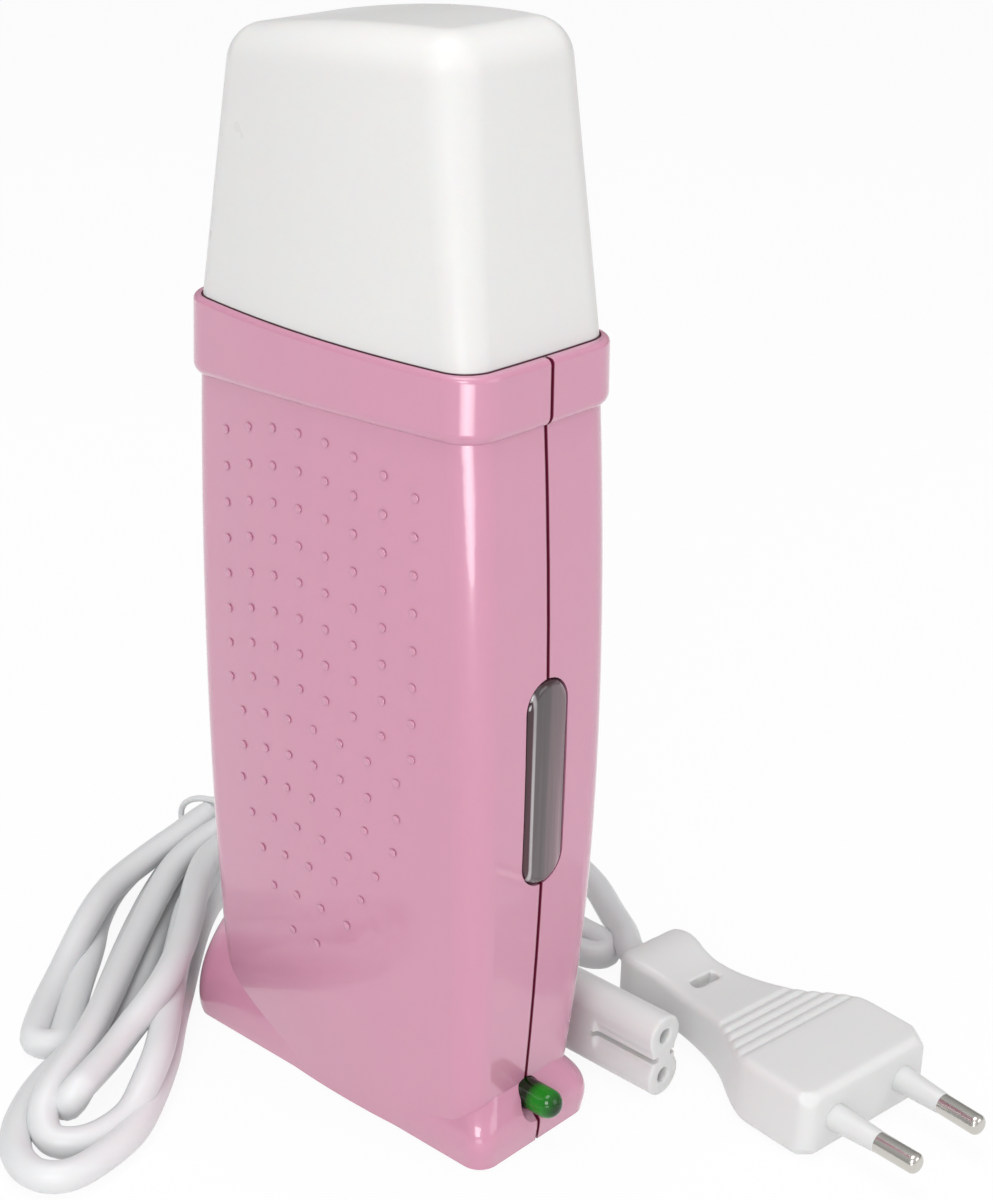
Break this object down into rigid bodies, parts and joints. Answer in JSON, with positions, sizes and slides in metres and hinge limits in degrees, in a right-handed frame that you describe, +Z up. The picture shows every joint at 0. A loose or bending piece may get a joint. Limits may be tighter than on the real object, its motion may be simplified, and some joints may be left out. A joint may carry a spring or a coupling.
{
  "type": "roll-on wax heater",
  "caption": "Upright oblong heater in two shells holding a roller wax cartridge under a lift-off cap, with a slot window, a signal light and a folded detachable mains lead.",
  "frame": {"origin": "centre of the heater's footprint on the table, measured without the mains lead", "axes": "+Z up, -Y to the narrow front with the window and the light, +Y to the heel with the mains inlet, the two wide faces look along -X and +X"},
  "size_m": [0.1592, 0.1949, 0.1991],
  "materials": {
    "pink_shell": "glossy",
    "milky_cap": "glossy, slightly translucent",
    "smoked_clear": "clear, polished",
    "green_lens": "clear, polished",
    "tinned_lead": "satin",
    "board": "matte",
    "resistor": "matte",
    "black_plastic": "satin",
    "nickel": "bright",
    "aluminium": "satin",
    "spring_steel": "satin",
    "bottle_plastic": "translucent",
    "wax": "smooth",
    "white_plastic": "satin",
    "brown_insulation": "satin",
    "blue_insulation": "satin",
    "screw_steel": "zinc plated",
    "white_rubber": "satin",
    "contact_brass": "satin",
    "cord_sheath": "satin"
  },
  "bodies": {
    "housing": {"left_shell": "pink_shell", "right_shell": "pink_shell", "level_window": "smoked_clear", "indicator_light": "green_lens", "light_leads": "tinned_lead", "circuit_board": "board", "board_resistor": "resistor", "board_diode": "black_plastic", "mains_inlet": "black_plastic", "inlet_pins": "nickel", "heating_well": "aluminium", "heating_element": "aluminium", "clamp_spring": "spring_steel", "thermostat": "nickel", "thermal_fuse": "tinned_lead", "live_wire": "brown_insulation", "neutral_wire": "blue_insulation", "element_leads": "white_plastic", "shell_screws": "screw_steel", "mains_plug": "white_rubber", "plug_pins": "nickel", "pin_sleeves": "white_plastic", "appliance_connector": "white_rubber", "connector_contacts": "contact_brass", "plug_lead": "cord_sheath", "connector_lead": "cord_sheath", "cord_hank": "cord_sheath"},
    "cartridge": {"cartridge_bottle": "bottle_plastic", "wax_fill": "wax", "roller_head": "white_plastic"},
    "roller": {"wax_roller": "white_plastic"},
    "cap": {"cap": "milky_cap"}
  },
  "joints": [
    {"name": "cartridge_lift", "type": "slide", "parent": "housing", "child": "cartridge", "axis": [0, 0, 1], "range_m": [0, 0.12]},
    {"name": "roller_spin", "type": "hinge", "parent": "cartridge", "child": "roller", "pos_m": [0, 0, 0.168], "axis": [0, 1, 0], "continuous": true},
    {"name": "cap_lift", "type": "slide", "parent": "cartridge", "child": "cap", "axis": [0, 0, 1], "range_m": [0, 0.06]}
  ]
}
